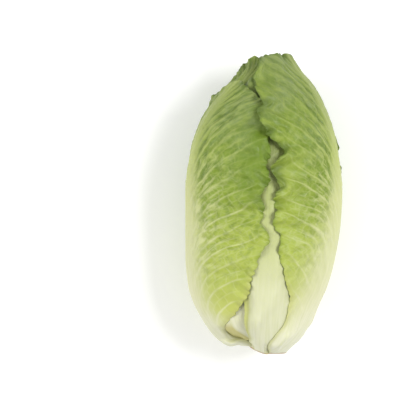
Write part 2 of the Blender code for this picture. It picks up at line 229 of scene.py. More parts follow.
def solid_corners(leaf):
    """Outer and inner radius of the solid at the corners of its grid."""
    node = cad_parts[leaf.name]
    flat = np.empty(len(node.data.vertices) * 3)
    node.data.vertices.foreach_get("co", flat)
    turned = np.array(node.matrix_world)
    share, direction, radius = to_polar(flat.reshape(-1, 3) @ turned[:3, :3].T + turned[:3, 3])
    tree = kdtree.KDTree(len(share))
    for i, place in enumerate(zip(share, direction)):
        tree.insert(key(*place), i)
    tree.balance()
    steps = np.linspace(-1, 1, leaf.columns + 1), np.linspace(0, 1, leaf.rows + 1) ** ROW_CROWDING
    share, direction, planned, _ = layout(leaf, *np.meshgrid(*steps))
    found = np.zeros((2, *share.shape))
    for spot in np.ndindex(share.shape):
        place = key(share[spot], direction[spot])
        near = tree.find_range(place, KEY_REACH) or tree.find_n(place, 2)
        radii = [radius[i] for _, i, _ in near]
        found[0][spot], found[1][spot] = max(radii), min(radii)
    return planned, found[0], found[1]


def blend_weights(places, count):
    """A row of weights for each place, which draws a smooth curve through count evenly spaced values."""
    weights = np.zeros((len(places), count))
    i = np.clip(places.astype(int), 0, count - 2)
    t = places - i
    parts = ((-t + 2 * t**2 - t**3) / 2, (2 - 5 * t**2 + 3 * t**3) / 2, (t + 4 * t**2 - 3 * t**3) / 2,
             (t**3 - t**2) / 2)
    for step, part in zip((-1, 0, 1, 2), parts):
        np.add.at(weights, (np.arange(len(places)), np.clip(i + step, 0, count - 1)), part)
    return weights


# %% [markdown]
# A vein first runs up beside the rib and then turns away to the margin, so its height grows with the
# logarithm of its distance from the rib. A number that grows by one from each vein to the next, the strip
# number, makes them easy to place: a vein is where it is whole, a weaker fork where it is half. Smooth
# noise makes the lines wander. A second number counts the little cross veins along each strip. The same two
# numbers shape the relief here and colour the lines in the material.

# %% The vein pattern
VEIN_SPACING = 11.5
SWEEP = 26
SWEEP_START = 4
TIP_SWEEP = 0.2
CROSS_SPACING = 7.5


def wander(x, y, size, seed):
    """Smooth noise from about -1 to 1, for points in millimetres, that changes over a length of size."""
    flat = [noise.noise((a, b, seed)) for a, b in zip((x / size).ravel(), (y / size).ravel())]
    return np.reshape(flat, np.shape(x))


def vein_numbers(from_rib, up, seed):
    """Strip number, cross number and gap between veins in millimetres."""
    reach = np.abs(from_rib)
    steeper = 1 + TIP_SWEEP * ease(up * MM / HEAD_LENGTH, 0.55, 1)
    rise = SWEEP * np.log1p(reach / SWEEP_START) * steeper
    slope = SWEEP / (SWEEP_START + reach) * steeper
    drift = 0.6 * wander(from_rib, up, 40, seed) + 0.16 * wander(from_rib, up, 13, seed + 5)
    strip = (up - rise) / VEIN_SPACING + np.where(from_rib < 0, 0.45, 0.0) + drift
    cross = (reach + 0.5 * up) / CROSS_SPACING + 0.5 * wander(from_rib, up, 12, seed + 9)
    return strip, cross, VEIN_SPACING / np.sqrt(1 + slope**2)


def vein_strength(strip, seed):
    """How strong the nearest vein is, from 0.55 to 1, with its own value for every vein."""
    return 0.55 + 0.45 * ((np.round(strip) * 0.618 + 0.37 * seed) % 1)


def line(number, gap, width):
    """1 on the lines where the number is whole, falling to 0 at width in millimetres."""
    away = np.abs((number + 0.5) % 1 - 0.5) * gap
    return 1 - ease(away / width, 0, 1)


# %% [markdown]
# The relief of a leaf's outer face starts with its blade. Veins stand out, cells sink between them, and
# slow swells and small puckers bend the whole. The rib is round, until it fades at the tip. The blade's
# forms start some way up, because the base of a leaf is all petiole. All lengths here are in millimetres.

# %% The relief of the blade
RIDGE_HEIGHT, RIDGE_WIDTH = 0.7, 2.4
CELL_DEPTH = 0.7
SWELL_HEIGHT, SWELL_SIZE = 1.3, 17
PUCKER_SIZE = 3.8
RIB_HEIGHT, RIB_WIDTH = 0.9, 5.5


def blade_relief(leaf, share, from_rib, up):
    """Millimetres that the blade and the rib stand out at each point."""
    strip, cross, gap = vein_numbers(from_rib, up, leaf.seed)
    reach = np.abs(from_rib)
    off_rib = 1 - np.exp(-((reach / (0.5 * curve(leaf.pale, share) + 2)) ** 2))
    leafy = ease(share, 0.08, 0.4)
    ridges = vein_strength(strip, leaf.seed) * line(strip, gap, RIDGE_WIDTH)
    cells = (0.5 - 0.5 * np.cos(2 * math.pi * strip)) * (0.6 + 0.4 * np.cos(2 * math.pi * cross))
    swell = 0.5 + 0.6 * wander(from_rib, up, SWELL_SIZE, leaf.seed + 2)
    pucker = 0.9 * wander(strip * 2.4, cross * 1.6, 1, leaf.seed + 8)
    pucker = pucker + 0.35 * wander(from_rib, up, PUCKER_SIZE, leaf.seed + 1)
    blade = off_rib * leafy * (RIDGE_HEIGHT * ridges - CELL_DEPTH * cells + SWELL_HEIGHT * swell + pucker)
    round_rib = RIB_HEIGHT * np.exp(-((reach / RIB_WIDTH) ** 2))
    return blade + round_rib * ease(share, 0.3, 0.6) * ease(share, 0.98, 0.84)


# %% [markdown]
# A leaf's margin is longer than the line it follows, so it ruffles out of the sheet in waves, with small
# ripples on them, and it is crinkled within the sheet. Ruffles go outwards, because the next leaf lies
# close underneath. Each form fades over its own reach from the margin. The depth in a fold is kept for the
# material, which paints shade into the folds.

# %% The ruffles of the margin
RUFFLE_LENGTH, RUFFLE_REACH = 15, 6
RIPPLE_LENGTH, RIPPLE_REACH, RIPPLE_HEIGHT = 5.2, 2.6, 0.22
SCALLOP_LENGTH = 6.4
CRINKLE_SIZE, CRINKLE_REACH = 2.3, 4
FULL_RUFFLE = 1.6
BEND_SIZE = 22


def ruffles(leaf, share, from_rib, up, side_edge, tip_edge):
    """Millimetres out of the sheet, sideways out of the leaf and up it, and the depth in a fold, 0 to 1."""
    sides = ease(share, leaf.start + 0.04, leaf.start + 0.16)
    round_edge = up + 0.9 * np.abs(from_rib)
    bend = wander(from_rib, up, BEND_SIZE, leaf.seed + 3)
    waves = 0.5 + 0.5 * np.sin(2 * math.pi * round_edge / RUFFLE_LENGTH + 5 * bend)
    ripple = np.sin(2 * math.pi * round_edge / RIPPLE_LENGTH + 7 * bend)
    frill = np.maximum(np.exp(-side_edge / RUFFLE_REACH) * sides, np.exp(-tip_edge / RUFFLE_REACH))
    fine_frill = np.maximum(np.exp(-side_edge / RIPPLE_REACH) * sides, np.exp(-tip_edge / RIPPLE_REACH))
    out = curve(leaf.ruffle, share) * (frill * waves + RIPPLE_HEIGHT * fine_frill * ripple)
    scallop = np.abs(np.sin(math.pi * round_edge / SCALLOP_LENGTH + 6 * bend)) ** 0.7 - 0.62
    crinkle = 1.5 * scallop + 0.8 * wander(from_rib, up, CRINKLE_SIZE, leaf.seed + 6)
    frilly = np.clip(curve(leaf.ruffle, share) / FULL_RUFFLE, 0.25, 1)
    sideways = frilly * np.exp(-side_edge / CRINKLE_REACH) * sides * crinkle
    onward = np.exp(-tip_edge / CRINKLE_REACH) * (crinkle - 1.0)
    fold = frilly * frill * (1 - waves) + 0.5 * fine_frill * (0.5 - 0.5 * ripple)
    return out, sideways, onward, fold


# %% [markdown]
# Then each leaf gets what the real one does. Lobes let the margin reach further or draw it back, and a
# press lays it on the leaf below. A flare opens the tip, a droop shortens it, and a lift raises the rib.
# The low side and the high side have their own lobes and presses.

# %% The relief of a leaf
LOBE_REACH, PRESS_REACH, DROOP_REACH = 7, 9, 14
LIFT_WIDTH = 6


def relief(leaf, across, share, from_rib, up, side_edge, tip_edge):
    """Millimetres outwards, across and up the leaf that a point moves, and its depth in a fold."""
    ruffle, sideways, onward, fold = ruffles(leaf, share, from_rib, up, side_edge, tip_edge)
    toward_low, toward_high = ease(-across, 0, 0.6), ease(across, 0, 0.6)
    high_side = ease(from_rib, -5, 15)
    out = blade_relief(leaf, share, from_rib, up) + ruffle
    out = curve(leaf.loose, share) * out + curve(leaf.flare, share) * (0.4 + 0.6 * high_side)
    out = out + curve(leaf.lift, share) * np.exp(-((from_rib / LIFT_WIDTH) ** 2))
    press = curve(leaf.press, share) * toward_high + curve(leaf.low_press, share) * toward_low
    out = out - press * np.exp(-side_edge / PRESS_REACH)
    lobes = curve(leaf.lobes, share) * toward_high - curve(leaf.low_lobes, share) * toward_low
    over = np.sign(across) * sideways + lobes * np.exp(-side_edge / LOBE_REACH)
    back = leaf.droop * (0.3 + high_side) * np.exp(-tip_edge / DROOP_REACH)
    return out, over, onward - back, fold


# %% [markdown]
# A leaf is made from a flat grid. The grid is bent to the outer face, its faces are extruded for the inner
# face, and the thickness between them is the solid's, less what the solid's blade has too much. It tapers
# to a fine blade at the margins. Points stay inside the solids' box, and a hair above the floor that the
# head lies on.
#
# Every point also keeps small records for the material. The place is its distance from the rib, its height
# and its distance from the margin. The vein record has its strip and cross numbers and the gap between
# veins. The kind says how much it belongs to the rib, how strong its vein is, and how much of the base
# tint it takes, which is partly a stain and partly painted shade. The margin record has its distances from
# the side and from the tip and its depth in a fold, which the material darkens as painted shade. One more
# number is 1 on the inner face.

# %% Making a leaf
SOLID_BLADE = 1.2
FINE_BLADE = 0.7
MARGIN_CROWDING = 1.2
REST_GAP = 0.02 * MM
RECORDS = ("place", "vein", "kind", "margin")


def in_scene(name, data):
    """A new object in the scene."""
    made = bpy.data.objects.new(name, data)
    bpy.context.scene.collection.objects.link(made)
    return made


def add_object(name, bm, material):
    """Puts a finished form in the scene as a piece of the head."""
    bmesh.ops.recalc_face_normals(bm, faces=bm.faces)
    mesh = bpy.data.meshes.new(name)
    bm.to_mesh(mesh)
    bm.free()
    mesh.shade_smooth()
    piece = in_scene(name, mesh)
    piece.data.materials.append(material)
    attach(piece, "root")
    return piece


def leaf_sheet(leaf):
    """Outer and inner points of the fine leaf on its grid, and its records."""
    columns, rows = leaf.fine
    flat = np.linspace(-1, 1, columns + 1)
    steps_across = np.sign(flat) * (1 - (1 - np.abs(flat)) ** MARGIN_CROWDING)
    steps_along = np.linspace(0, 1, rows + 1)
    across, along = np.meshgrid(steps_across, steps_along)
    share, direction, planned, turn = layout(leaf, across, along)
    corners, outer, inner = solid_corners(leaf)
    down = blend_weights(steps_along ** (1 / ROW_CROWDING) * leaf.rows, leaf.rows + 1)
    over = blend_weights((steps_across + 1) / 2 * leaf.columns, leaf.columns + 1)
    radius = planned + down @ (outer - corners) @ over.T
    thick = down @ (outer - inner) @ over.T
    thick = np.maximum(thick - (SOLID_BLADE - FINE_BLADE) * MM, FINE_BLADE * MM)
    from_rib, up = turn * radius / MM, share * HEAD_LENGTH / MM
    side_reach = np.where(across < 0, np.abs(from_rib[:, :1]), np.abs(from_rib[:, -1:]))
    side_edge = (1 - np.abs(across)) * side_reach
    taper = (thick - FINE_BLADE * MM) * (1 - ease(side_edge, 0, leaf.taper))
    thick = thick - taper
    radius = radius - taper - 0.5 * (SOLID_BLADE - FINE_BLADE) * MM
    tip_edge = (1 - along) * (leaf.end - leaf.start) * HEAD_LENGTH / MM
    out, sideways, onward, fold = relief(leaf, across, share, from_rib, up, side_edge, tip_edge)
    share = share + onward * MM / HEAD_LENGTH
    direction = direction + sideways * MM / radius
    radius = radius + out * MM
    strip, cross, gap = vein_numbers(from_rib, up, leaf.seed)
    low, high = np.array(cad_low) + (0, 0, REST_GAP), np.array(cad_high)
    faces = radius, radius - thick
    points = [np.clip(to_world(share, direction, face), low, high) for face in faces]
    place = np.stack([from_rib, up, np.minimum(side_edge, tip_edge)], axis=-1)
    margin = np.stack([side_edge, tip_edge, fold], axis=-1)
    pale = curve(leaf.pale, up * MM / HEAD_LENGTH) * np.where(across < 0, leaf.pale_low, 1)
    rib = np.exp(-((np.abs(from_rib) / pale) ** leaf.pale_power))
    stain = curve(leaf.stain, up * MM / HEAD_LENGTH) * ease(from_rib, -3, -1)
    kind = np.stack([rib, vein_strength(strip, leaf.seed), stain], axis=-1)
    return points, (place, np.stack([strip, cross, gap], axis=-1), kind, margin)


def make_leaf(leaf, material):
    """The fine leaf that stands for its solid."""
    (outer, inner), records = leaf_sheet(leaf)
    columns, rows = leaf.fine
    bm = bmesh.new()
    bmesh.ops.create_grid(bm, x_segments=columns, y_segments=rows, size=1)
    number = bm.verts.layers.int.new("number")
    layers = [bm.verts.layers.float_vector.new(name) for name in RECORDS]
    inside_layer = bm.verts.layers.float.new("inside")
    for vert in bm.verts:
        vert[number] = vert.index
    made = bmesh.ops.extrude_face_region(bm, geom=bm.faces[:], use_keep_orig=True)
    copies = {item for item in made["geom"] if isinstance(item, bmesh.types.BMVert)}
    outer, inner = (points.reshape(-1, 3).tolist() for points in (outer, inner))
    records = [values.reshape(-1, 3).tolist() for values in records]
    for vert in bm.verts:
        i = vert[number]
        inside = vert in copies
        vert.co = inner[i] if inside else outer[i]
        vert[inside_layer] = float(inside)
        for layer, values in zip(layers, records):
            vert[layer] = values[i]
    bm.verts.layers.int.remove(number)
    piece = add_object(leaf.name + "_blade", bm, material)
    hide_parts(leaf.name)
    print(leaf.name, "faces:", len(piece.data.polygons))


# %% [markdown]
# Materials are node graphs. A helper keeps them readable: it adds a node, links or sets its inputs, and
# hands back an output.

# %% A helper for node graphs
def linear(*srgb):
    """A colour given as the 0 to 255 values of a screen, as the shader wants it."""
    shares = [value / 255 for value in srgb]
    return tuple(v / 12.92 if v <= 0.04045 else ((v + 0.055) / 1.055) ** 2.4 for v in shares) + (1.0,)


class Graph:
    """Adds nodes to one tree. Each call returns the new node's output socket."""

    def __init__(self, tree):
        self.tree = tree

    def put(self, socket, value):
        if isinstance(value, bpy.types.NodeSocket):
            self.tree.links.new(value, socket)
        else:
            socket.default_value = value

    def add(self, kind, inputs=(), output=0, **settings):
        node = self.tree.nodes.new(kind)
        for name, value in settings.items():
            setattr(node, name, value)
        for name, value in dict(inputs).items():
            self.put(node.inputs[name], value)
        return node.outputs[output]

    def math(self, operation, *values, clamp=False):
        return self.add("ShaderNodeMath", enumerate(values), operation=operation, use_clamp=clamp)

    def times(self, first, *others):
        """The product of all the values."""
        for value in others:
            first = self.math("MULTIPLY", first, value)
        return first

    def mix(self, factor, a, b):
        inputs = {0: factor, 6: a, 7: b}
        return self.add("ShaderNodeMix", inputs, 2, data_type="RGBA", clamp_factor=True)

    def layer(self, base, colour, *masks):
        """The colour laid over the base, where all the masks let it through."""
        return self.mix(self.times(*masks), base, colour)

    def ease(self, value, start, end, low=0.0, high=1.0):
        inputs = {0: value, 1: start, 2: end, 3: low, 4: high}
        return self.add("ShaderNodeMapRange", inputs, interpolation_type="SMOOTHSTEP")

    def ramp(self, value, stops):
        socket = self.add("ShaderNodeValToRGB", {0: value})
        elements = socket.node.color_ramp.elements
        for place, _ in stops[len(elements):]:
            elements.new(place)
        for element, (place, colour) in zip(elements, stops):
            element.position, element.color = place, colour
        return socket

    def split(self, vector):
        return self.add("ShaderNodeSeparateXYZ", {0: vector}).node.outputs

    def noise(self, place, scale, detail):
        return self.add("ShaderNodeTexNoise", {"Vector": place, "Scale": scale, "Detail": detail})

    def attribute(self, name):
        return self.add("ShaderNodeAttribute", (), 1, attribute_name=name)


def new_material(name):
    """A material, a graph on its tree and its shader."""
    material = bpy.data.materials.new(name)
    material.use_nodes = True
    return material, Graph(material.node_tree), material.node_tree.nodes["Principled BSDF"]


# %% [markdown]
# Every leaf shows the same kinds of line, so they are one node group: the main veins, the smaller lines,
# which are their forks and the cross veins between them, a fine net inside each cell, the valleys between
# the veins, a fan of streaks that leaves the rib with them, and faint streaks along the fleshy rib. The
# group takes a point's place and vein numbers and a width for the veins, and puts out one mask for each
# kind of line.

# %% The vein lines as a node group
def group_socket(tree, name, way, kind="NodeSocketFloat"):
    tree.interface.new_socket(name=name, in_out=way, socket_type=kind)


def make_vein_group():
    tree = bpy.data.node_groups.new("leaf_veins", "ShaderNodeTree")
    group_socket(tree, "Place", "INPUT", "NodeSocketVector")
    group_socket(tree, "Vein", "INPUT", "NodeSocketVector")
    group_socket(tree, "Width", "INPUT")
    for name in ("Main", "Small", "Net", "Valley", "Fan", "Streaks"):
        group_socket(tree, name, "OUTPUT")
    graph = Graph(tree)
    inputs = tree.nodes.new("NodeGroupInput").outputs
    outputs = tree.nodes.new("NodeGroupOutput").inputs
    from_rib, up, _ = graph.split(inputs["Place"])
    strip, cross, gap = graph.split(inputs["Vein"])
    reach = graph.math("ABSOLUTE", from_rib)

    def line(number, spacing, width):
        away = graph.math("SUBTRACT", graph.math("FRACT", graph.math("ADD", number, 0.5)), 0.5)
        away = graph.times(graph.math("ABSOLUTE", away), spacing)
        return graph.ease(graph.math("DIVIDE", away, width), 0.0, 1.0, 1.0, 0.0)

    width = graph.times(inputs["Width"], graph.ease(reach, 0.0, 34.0, 1.7, 0.62))
    fork = line(graph.math("ADD", strip, 0.5), gap, graph.times(width, 0.7))
    fork = graph.times(fork, graph.ease(reach, 12.0, 26.0, 0.0, 0.7))
    half_strip = graph.math("FLOOR", graph.times(strip, 2.0))
    offset = graph.math("FRACT", graph.times(half_strip, 0.618))
    small = line(graph.math("ADD", cross, offset), 6.0, graph.times(width, 0.6))
    small = graph.times(small, graph.ease(reach, 8.0, 18.0, 0.0, 0.8))
    cell = graph.add("ShaderNodeTexVoronoi", {"Vector": inputs["Place"], "Scale": 0.34}, 0,
                     voronoi_dimensions="2D", feature="DISTANCE_TO_EDGE")
    valley = graph.math("COSINE", graph.times(strip, 2 * math.pi))
    fan_place = graph.add("ShaderNodeCombineXYZ", {0: graph.times(strip, 4.5), 1: cross})
    fan = graph.noise(fan_place, 0.8, 4.0)
    streak_place = graph.add("ShaderNodeCombineXYZ", {0: from_rib, 1: graph.times(up, 0.04)})
    streaks = graph.noise(streak_place, 0.8, 3.0)
    graph.put(outputs["Main"], line(strip, gap, width))
    graph.put(outputs["Small"], graph.math("MAXIMUM", fork, small))
    graph.put(outputs["Net"], graph.ease(cell, 0.0, 0.2, 1.0, 0.0))
    graph.put(outputs["Valley"], graph.ease(valley, -1.0, 0.4, 1.0, 0.0))
    graph.put(outputs["Fan"], graph.ease(fan, 0.46, 0.66))
    graph.put(outputs["Streaks"], streaks)
    return tree


VEIN_GROUP = make_vein_group()

# %% [markdown]
# The colour of a romaine leaf is a matter of where you look. The rib and the base are cream. The blade is
# yellow green near the base, where it grew in the shade of other leaves, a fuller green in the middle, and
# a duller grey green at the tip. The inner face is more saturated than the waxy outer one. The cut at the
# base turns brown. These are colours of lit leaves, so as paint they are a little darker.

# %% Paints
PAINT = 0.95


def tone(*srgb):
    return linear(*(PAINT * value for value in srgb))


def tones(stops):
    """Colour stops of (place, colour) for a ramp."""
    return [(place, tone(*colour)) for place, colour in stops]


WAXY_GREEN = tone(138, 154, 100)
FRESH_GREEN = tone(148, 170, 54)
DARK_MOTTLE = tone(102, 128, 40)
LIGHT_MOTTLE = tone(170, 186, 86)
YOUNG_GREEN = tone(172, 189, 74)
VALLEY_SHADE_GREEN = tone(96, 120, 42)
RIM_AND_SHADE_GREEN = tone(104, 130, 48)
FOLD_SHADE_GREEN = tone(88, 110, 34)
SHADED_GREEN = tone(112, 140, 34)
STREAK_CREAM = tone(206, 212, 152)
FLANK_SHADE_OLIVE = tone(186, 190, 106)
THIN_EDGE_AND_SHADE_OLIVE = tone(196, 198, 118)
STAIN_AND_SHADE_OLIVE = tone(208, 202, 128)
BROWN_CUT = linear(172, 128, 80)

# %% [markdown]
# A leaf's material reads the records of its points, the lines of the vein group and two noises on its
# place. The patches are as large as a thumb, the grain is as fine as the cells. Everything leafy starts
# some way up the leaf.

# %% What the leaf material reads
VEIN_WIDTH = 1.3
PATCH_SCALE, GRAIN_SCALE = 0.045, 0.21


def leaf_values(graph):
    """The sockets that the colours of a leaf are made of, by name."""
    place, vein, kind, margin = (graph.attribute(record) for record in RECORDS)
    inside = graph.add("ShaderNodeAttribute", (), 2, attribute_name="inside")
    from_rib, up, edge = graph.split(place)
    rib, strength, stain = graph.split(kind)
    side_edge, _, fold = graph.split(margin)
    veins = graph.add("ShaderNodeGroup", node_tree=VEIN_GROUP).node
    for socket, value in (("Place", place), ("Vein", vein), ("Width", VEIN_WIDTH)):
        graph.put(veins.inputs[socket], value)
    main, small, net, valley, fan, streaks = veins.outputs
    share = graph.math("DIVIDE", up, HEAD_LENGTH / MM)
    patch, grain = graph.noise(place, PATCH_SCALE, 3.0), graph.noise(place, GRAIN_SCALE, 3.0)
    return SimpleNamespace(
        inside=inside, from_rib=from_rib, reach=graph.math("ABSOLUTE", from_rib), up=up, share=share,
        leafy=graph.ease(share, 0.14, 0.42), edge=edge, side_edge=side_edge, fold=fold, rib=rib, stain=stain,
        strength=strength, main=main, small=small, net=net, valley=valley, fan=fan, streaks=streaks,
        patch=patch, grain=grain,
    )


# %% [markdown]
# The blade is painted in layers. A ramp runs from base to tip, and its stops drift with the patches. Waxy
# and fresh patches, a dark and a light mottle, the inner face, the young margin, and painted shade in the
# valleys beside the rib are laid over it, each through its own masks.

# %% The colour of the blade
def blade_colour(graph, v, blade_tones, inner_green):
    drift = graph.times(graph.math("SUBTRACT", v.patch, 0.5), 0.14)
    blade = graph.ramp(graph.math("ADD", v.share, drift), tones(blade_tones))
    waxy = graph.ease(v.patch, 0.45, 0.7, 0.0, 0.6), graph.ease(v.share, 0.5, 0.8)
    blade = graph.layer(blade, WAXY_GREEN, *waxy)
    blade = graph.layer(blade, FRESH_GREEN, graph.ease(v.patch, 0.55, 0.3, 0.0, 0.5), v.leafy)
    blade = graph.layer(blade, DARK_MOTTLE, graph.ease(v.grain, 0.55, 0.36, 0.0, 0.42), v.leafy)
    blade = graph.layer(blade, LIGHT_MOTTLE, graph.ease(v.grain, 0.52, 0.68, 0.0, 0.32), v.leafy)
    blade = graph.layer(blade, inner_green, v.inside, 0.75)
    young = graph.ease(v.edge, 4.0, 20.0, 0.55, 0.0), graph.ease(v.share, 0.25, 0.38)
    ends = graph.ease(v.share, 0.58, 0.72, 1.0, 0.0), graph.ease(v.from_rib, -4.0, 4.0, 0.1, 1.0)
    blade = graph.layer(blade, YOUNG_GREEN, *young, *ends)
    # Painted shade: the valleys between the veins near the rib are darkened as if they lay in shade.
    near_rib = graph.times(graph.ease(v.reach, 6.0, 34.0, 1.0, 0.15), graph.ease(v.share, 0.52, 0.76))
    return graph.layer(blade, VALLEY_SHADE_GREEN, v.valley, near_rib, 0.7)


# %% [markdown]
# The lines are the colour of the rib. The fan of streaks comes first, then the net, and the veins last.
# Veins fade away from the rib and at the margin, and break up a little with the grain. The rim is darker,
# partly its own edge colour and partly painted shade. Painted shade also darkens the folds of the ruffles
# and the low margin, which lies under the next leaf. The lines are returned too, because the bump uses
# them again.

# %% The lines on the blade
def line_colour(graph, v, blade, vein_tone, vein_strength):
    blade = graph.layer(blade, vein_tone, v.fan, graph.ease(v.reach, 12.0, 42.0, 0.75, 0.08), v.leafy)
    blade = graph.layer(blade, vein_tone, v.net, v.leafy, 0.12)
    fading = graph.ease(v.reach, 10.0, 60.0, 1.0, 0.45), graph.ease(v.edge, 0.5, 9.0, 0.25, 1.0)
    fading = graph.times(*fading, vein_strength)
    broken = graph.times(v.strength, graph.ease(v.grain, 0.3, 0.55, 0.55, 1.0))
    main = graph.times(v.main, broken, fading)
    small = graph.times(v.small, 0.4, fading)
    blade = graph.layer(blade, vein_tone, graph.math("MAXIMUM", main, small))
    # A darker rim at the margin: partly the edge's own green, partly painted shade along it.
    blade = graph.layer(blade, RIM_AND_SHADE_GREEN, graph.ease(v.edge, 0.0, 1.6, 0.35, 0.0), v.leafy)
    # Painted shade: the folds of the ruffles are darkened as if little light reached them.
    fold_shade = graph.ease(v.fold, 0.2, 0.8, 0.0, 0.75), graph.ease(v.share, 0.4, 0.6)
    blade = graph.layer(blade, FOLD_SHADE_GREEN, *fold_shade)
    low_margin = graph.ease(v.side_edge, 6.0, 20.0, 0.6, 0.0), graph.ease(v.from_rib, -20.0, -30.0)
    blade = graph.layer(blade, SHADED_GREEN, *low_margin, graph.ease(v.share, 0.45, 0.6))
    return blade, main, small


# %% [markdown]
# The rib is laid over the blade, with faint streaks. Painted shade can darken its flank, as in a shaded
# groove, a petiole is olive at its thin edge, partly its own colour and partly painted shade where it meets
# the next leaf, and a leaf may be tinted at the base, partly as a stain and partly as painted shade of a
# hollow. The cut browns at its rims: the brown is strong along the two edges of the cut face and weak in
# its middle.

# %% The colour of the rib, the base and the cut
def base_colour(graph, v, blade, vein_tone, groove_shade):
    pale = graph.mix(graph.ease(v.streaks, 0.35, 0.7, 0.0, 0.35), vein_tone, STREAK_CREAM)
    colour = graph.mix(v.rib, blade, pale)
    # Painted shade: olive on the left flank of the petiole, where a groove would lie in shade.
    flank = graph.times(graph.ease(v.rib, 0.0, 0.5), graph.ease(v.rib, 0.5, 1.0, 1.0, 0.0))
    groove_shade_zone = graph.ease(v.share, 0.4, 0.5, groove_shade, 0.0), graph.ease(v.from_rib, -2.0, 2.0)
    colour = graph.layer(colour, FLANK_SHADE_OLIVE, flank, *groove_shade_zone)
    # Olive at the thin edge of a petiole: partly its own colour, partly painted shade where it meets the
    # next leaf.
    thin_edge_and_shade = graph.ease(v.edge, 0.0, 4.0, 0.55, 0.0)
    colour = graph.layer(colour, THIN_EDGE_AND_SHADE_OLIVE, thin_edge_and_shade, graph.ease(v.share, 0.2, 0.34, 1.0, 0.0))
    # Stain and painted shade: the tinted base stands for dry tissue and for the shade of the hollow under
    # the lip.
    colour = graph.mix(v.stain, colour, STAIN_AND_SHADE_OLIVE)
    browning = graph.ease(graph.math("ADD", v.up, graph.times(v.patch, -1.6)), -0.7, 0.4, 0.7, 0.0)
    wall = graph.times(v.inside, graph.math("SUBTRACT", 1.0, v.inside))
    return graph.layer(colour, BROWN_CUT, browning, graph.ease(wall, 0.05, 0.2, 1.0, 0.2))


# %% [markdown]
# The bump adds what is too fine for the mesh: the edge of the veins, the net, the grain and the streaks of
# the rib. A little light passes under the skin of a lettuce leaf, and its wax gives it a soft shine.

# %% The leaf material
def leaf_bump(graph, v, main, small):
    height = graph.math("ADD", graph.times(main, 0.8), graph.times(small, 0.5))
    height = graph.math("ADD", height, graph.times(v.net, 0.15))
    height = graph.times(graph.math("ADD", height, graph.times(v.grain, 0.9)), v.leafy)
    height = graph.math("ADD", height, graph.times(v.streaks, v.rib, 0.7))
    return graph.add("ShaderNodeBump", {"Height": height, "Strength": 0.6, "Distance": 0.5 * MM})


def leaf_material(name, blade_tones, rib_tones, inner_green, groove_shade=0.0, vein_strength=0.68):
    material, graph, shader = new_material(name)
    values = leaf_values(graph)
    vein_tone = graph.ramp(values.share, tones(rib_tones))
    blade = blade_colour(graph, values, blade_tones, inner_green)
    blade, main, small = line_colour(graph, values, blade, vein_tone, vein_strength)
    graph.put(shader.inputs["Base Color"], base_colour(graph, values, blade, vein_tone, groove_shade))
    graph.put(shader.inputs["Roughness"], graph.ease(values.grain, 0.3, 0.7, 0.42, 0.6))
    graph.put(shader.inputs["Normal"], leaf_bump(graph, values, main, small))
    shader.inputs["Subsurface Weight"].default_value = 0.12
    shader.inputs["Subsurface Radius"].default_value = (1.0, 1.0, 0.4)
    shader.inputs["Subsurface Scale"].default_value = 1.5 * MM
    shader.inputs["Specular IOR Level"].default_value = 0.4
    print("material", name, "nodes:", len(material.node_tree.nodes))
    return material


# %% [markdown]
# The stops run from the base, 0, to the tip, 1. The outer leaves share their tones. The front leaf has a
# greener rib higher up and painted shade in a groove beside its petiole, and the heart's leaves never saw
# the sun, so they stay yellow green.

# %% The three looks of a leaf
RIB_TONES = ((0, (238, 238, 212)), (0.12, (237, 236, 203)), (0.2, (232, 231, 190)), (0.35, (223, 225, 173)),
             (0.52, (213, 217, 152)), (0.66, (186, 198, 112)), (0.8, (156, 171, 88)), (1, (140, 156, 82)))
OUTER_TONES = ((0, (244, 244, 214)), (0.08, (228, 230, 168)), (0.14, (200, 208, 104)),
               (0.24, (184, 197, 86)), (0.38, (172, 188, 74)), (0.5, (141, 163, 50)),
               (0.62, (121, 146, 38)), (0.76, (122, 146, 48)), (0.88, (123, 142, 70)),
               (1, (121, 138, 78)))
FRONT_RIB = ((0, (236, 236, 206)), (0.12, (230, 231, 195)), (0.22, (221, 223, 180)),
             (0.32, (206, 211, 152)), (0.42, (194, 202, 132)), (0.52, (181, 192, 116)),
             (0.62, (166, 180, 100)), (0.75, (147, 165, 80)), (1, (138, 156, 78)))
HEART_TONES = ((0, (236, 236, 200)), (0.3, (220, 226, 148)), (0.55, (200, 212, 104)), (0.8, (172, 192, 80)),
               (1, (156, 178, 76)))
outer_look = leaf_material("outer_leaf", OUTER_TONES, RIB_TONES, tone(128, 154, 54))
front_look = leaf_material("front_leaf", OUTER_TONES, FRONT_RIB, tone(128, 154, 54), groove_shade=0.7)
heart_look = leaf_material("heart_leaf", HEART_TONES, RIB_TONES, tone(168, 188, 72))

# %% [markdown]
# The cut face of the stem is dry. It gets a brown rim, a few brown stains, and the ring of sap channels
# that a cut stem shows. Away from the cut the stem is plain cream.

# %% The look of the cut stem
STEM_CREAM, STEM_GREEN = tone(240, 238, 206), tone(226, 226, 178)
SAP_GREEN = tone(188, 190, 120)
DRY_BROWN = tone(206, 184, 132)


